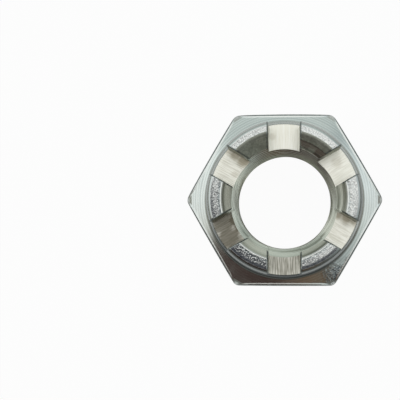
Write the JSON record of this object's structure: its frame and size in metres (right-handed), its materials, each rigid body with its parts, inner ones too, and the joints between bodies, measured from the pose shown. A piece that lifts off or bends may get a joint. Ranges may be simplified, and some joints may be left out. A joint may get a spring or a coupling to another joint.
{
  "type": "castle nut",
  "caption": "Hexagon castle nut, M24 coarse thread, with a turned crown milled through by cotter-pin slots.",
  "frame": {"origin": "centre of the bearing face, on the thread's axis", "axes": "+Z along the thread's axis from the bearing face to the crown; two flats face +Y and -Y, two corners lie on the X axis"},
  "size_m": [0.0412, 0.036, 0.027],
  "materials": {
    "zinc_plated_steel": "bright zinc plating over grainy forged flats and fine-turned shoulder, milled slot floors"
  },
  "bodies": {
    "root": {"castle_nut": "zinc_plated_steel"}
  },
  "joints": []
}
